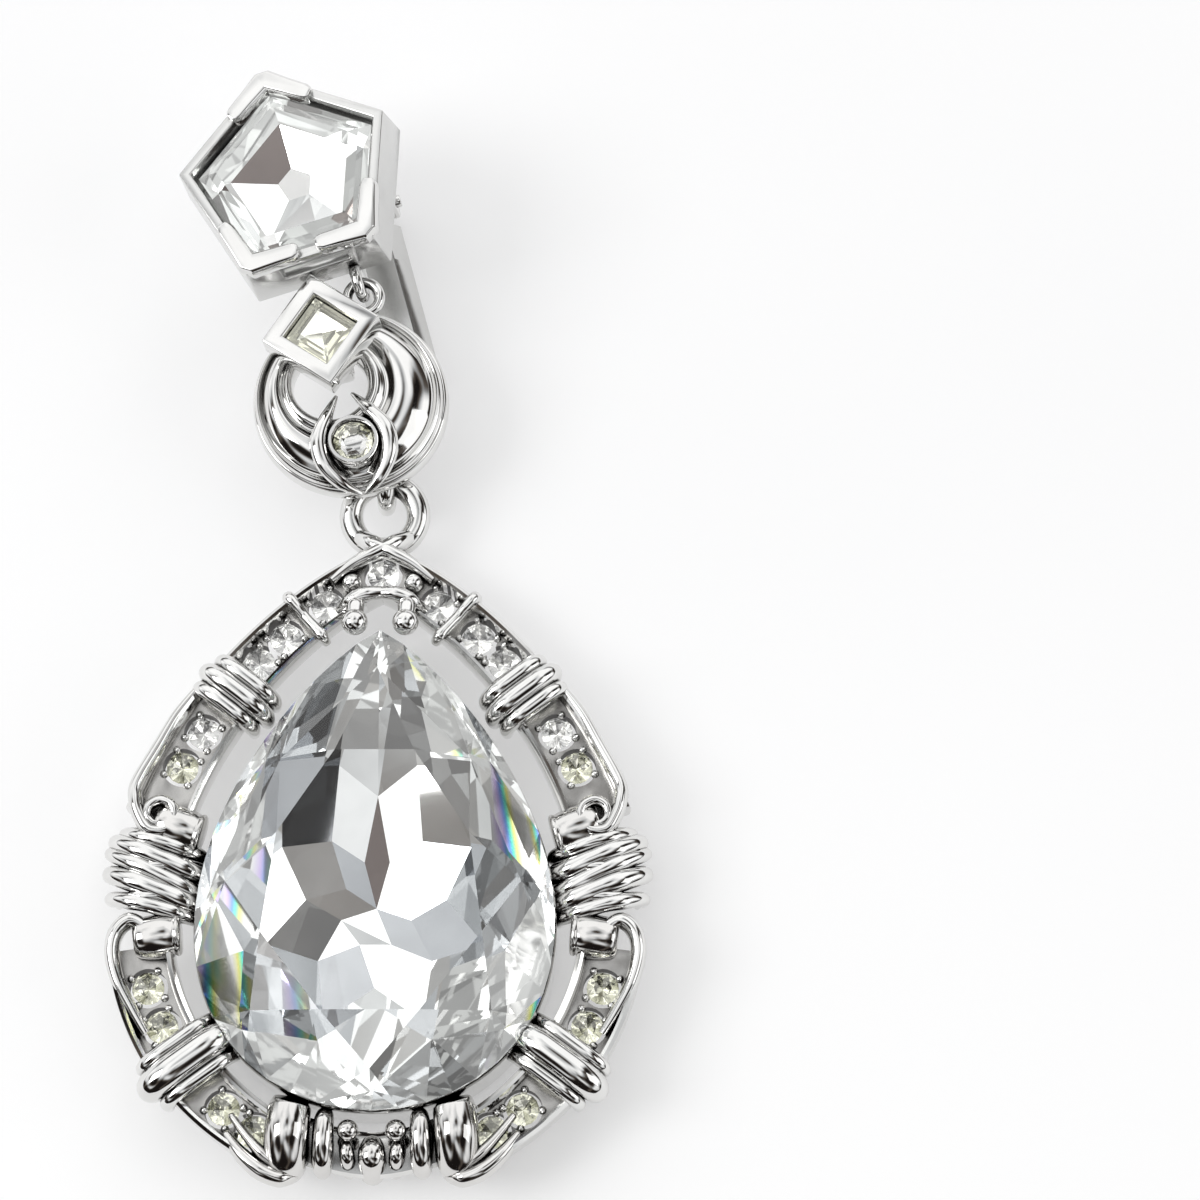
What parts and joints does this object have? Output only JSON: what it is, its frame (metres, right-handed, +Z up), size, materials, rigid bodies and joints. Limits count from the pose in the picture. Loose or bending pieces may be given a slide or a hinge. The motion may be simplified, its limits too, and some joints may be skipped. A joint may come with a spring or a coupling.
{
  "type": "chandelier earring",
  "caption": "Clip-on chandelier earring of bright plated metal: five-sided and square crystals, crescent ring and large pear drop in an openwork frame.",
  "frame": {"origin": "below the middle of the earring, on the surface that it lies on", "axes": "+Y from the drop's foot to the ear clip, +Z up from the surface, +X to the right as seen from above"},
  "size_m": [0.0332, 0.0712, 0.0125],
  "materials": {
    "plated_metal": "bright polished plating",
    "crystal": "faceted, foiled back"
  },
  "bodies": {
    "earring": {"top_setting": "plated_metal", "pentagon_stone": "crystal", "clip_pin": "plated_metal", "bail_setting": "plated_metal", "square_stone": "crystal", "crescent_ring": "plated_metal", "collet_stone": "crystal", "drop_frame": "plated_metal", "pear_stone": "crystal", "frame_stone_01": "crystal", "frame_stone_02": "crystal", "frame_stone_03": "crystal", "frame_stone_04": "crystal", "frame_stone_05": "crystal", "frame_stone_06": "crystal", "frame_stone_07": "crystal", "frame_stone_08": "crystal", "frame_stone_09": "crystal", "frame_stone_10": "crystal", "frame_stone_11": "crystal", "frame_stone_12": "crystal", "frame_stone_13": "crystal", "frame_stone_14": "crystal", "frame_stone_15": "crystal", "frame_stone_16": "crystal", "frame_stone_17": "crystal", "frame_stone_18": "crystal", "frame_stone_19": "crystal"},
    "clip_lever": {"clip_lever": "plated_metal"}
  },
  "joints": [
    {"name": "clip_hinge", "type": "hinge", "parent": "earring", "child": "clip_lever", "pos_m": [-0.00169, 0.02964, 0.00141], "axis": [0.954, 0.2556, 0.1564], "range_deg": [0, 75]}
  ]
}
